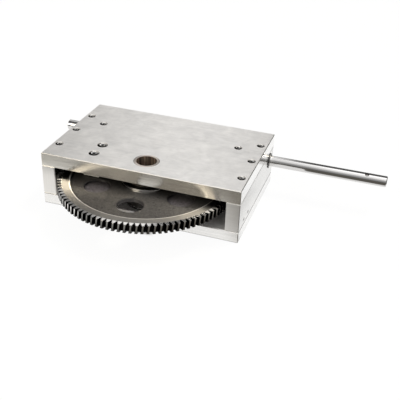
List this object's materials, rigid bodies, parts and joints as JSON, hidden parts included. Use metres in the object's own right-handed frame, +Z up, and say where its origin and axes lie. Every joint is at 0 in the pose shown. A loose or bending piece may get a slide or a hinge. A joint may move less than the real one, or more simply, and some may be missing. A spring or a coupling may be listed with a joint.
{
  "type": "worm gearbox",
  "caption": "Open worm gearbox of two thick aluminium plates on end blocks: a long worm input shaft at the back drives a flat toothed wheel with an open output bore.",
  "frame": {"origin": "on the axis of the wheel and its output bushes, at the underside of the bottom plate", "axes": "+Z up along the output axis, +X along the input shaft towards its long end, +Y towards the back, where the input shaft is"},
  "size_m": [0.4445, 0.2435, 0.0702],
  "materials": {
    "top_plate_aluminium": "milled and blasted satin top, bright sides",
    "bottom_plate_aluminium": "bright milled",
    "block_aluminium": "bright milled with fine brush lines",
    "wheel_iron": "cast web, machined rim and teeth",
    "bush_bronze": "oiled bronze",
    "washer_bronze": "turned bronze",
    "shaft_steel": "ground and polished",
    "ring_steel": "spring steel",
    "post_steel": "turned",
    "screw_steel": "zinc plated",
    "pad_plastic": "milled acetal"
  },
  "bodies": {
    "housing": {"top_plate": "top_plate_aluminium", "bottom_plate": "bottom_plate_aluminium", "left_end_block": "block_aluminium", "right_end_block": "block_aluminium", "left_rear_post": "post_steel", "right_rear_post": "post_steel", "top_bush": "bush_bronze", "bottom_bush": "bush_bronze", "upper_hub_washer": "washer_bronze", "lower_hub_washer": "washer_bronze", "left_shaft_bush": "bush_bronze", "right_shaft_bush": "bush_bronze", "steady_pad": "pad_plastic", "top_block_screws": "screw_steel", "top_post_screws": "screw_steel", "bottom_block_screws": "screw_steel", "bottom_post_screws": "screw_steel", "steady_pad_screws": "screw_steel"},
    "wheel": {"worm_wheel": "wheel_iron", "wheel_set_screws": "screw_steel"},
    "input": {"worm_shaft": "shaft_steel", "left_retaining_ring": "ring_steel", "right_retaining_ring": "ring_steel"}
  },
  "joints": [
    {"name": "wheel_spin", "type": "hinge", "parent": "housing", "child": "wheel", "pos_m": [0, 0, 0.0404], "axis": [0, 0, 1], "continuous": true},
    {"name": "worm_spin", "type": "hinge", "parent": "housing", "child": "input", "pos_m": [0, 0.11536, 0.0404], "axis": [1, 0, 0], "continuous": true}
  ],
  "couplings": [
    {"joint": "worm_spin", "follows": "wheel_spin", "ratio": 100}
  ]
}
